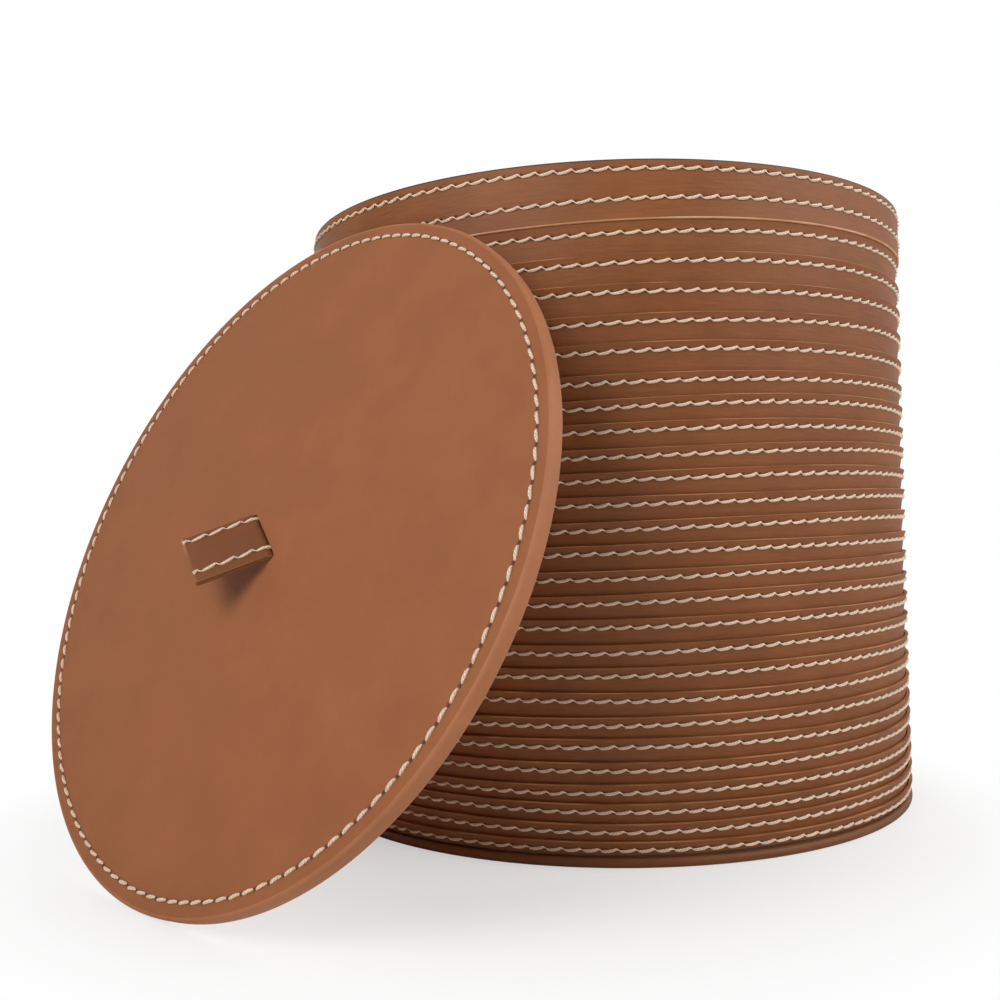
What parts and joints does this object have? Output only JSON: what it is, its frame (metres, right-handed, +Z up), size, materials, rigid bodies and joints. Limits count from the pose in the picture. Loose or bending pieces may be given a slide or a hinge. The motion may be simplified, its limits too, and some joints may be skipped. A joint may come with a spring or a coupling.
{
  "type": "round leather box",
  "caption": "Round box for papers and keepsakes: a board tube dressed in lapped, stitched leather strips, with a loose flat leather lid and pull tab leaning on it.",
  "frame": {"origin": "centre of the base's underside, on the box's axis, at floor level", "axes": "+Z up along the box's axis; -Y towards the front, where the lid leans at the left (-X) side"},
  "size_m": [0.2966, 0.303, 0.2078],
  "materials": {
    "tan_leather": "smooth tan leather with a satin sheen",
    "grey_board": "rolled grey board",
    "suede_lining": "brushed beige lining cloth",
    "thread": "thick twisted cream thread"
  },
  "bodies": {
    "box": {"base_cover": "tan_leather", "base_board": "grey_board", "floor_board": "grey_board", "floor_lining": "suede_lining", "wall_tube": "grey_board", "wall_lining": "suede_lining", "band_01": "tan_leather", "band_02": "tan_leather", "band_03": "tan_leather", "band_04": "tan_leather", "band_05": "tan_leather", "band_06": "tan_leather", "band_07": "tan_leather", "band_08": "tan_leather", "band_09": "tan_leather", "band_10": "tan_leather", "band_11": "tan_leather", "band_12": "tan_leather", "band_13": "tan_leather", "band_14": "tan_leather", "band_15": "tan_leather", "band_16": "tan_leather", "band_17": "tan_leather", "band_18": "tan_leather", "band_19": "tan_leather", "band_20": "tan_leather", "band_21": "tan_leather", "band_22": "tan_leather", "band_23": "tan_leather", "band_24": "tan_leather", "band_25": "tan_leather", "band_26": "tan_leather", "rim_band": "tan_leather", "rim_facing": "tan_leather"},
    "lid": {"lid_cover": "tan_leather", "lid_core": "grey_board", "lid_underside": "tan_leather", "pull_tab": "tan_leather"}
  },
  "joints": [
    {"name": "lid_lift", "type": "slide", "parent": "box", "child": "lid", "axis": [0, 0, 1], "range_m": [0, 0.23]}
  ]
}
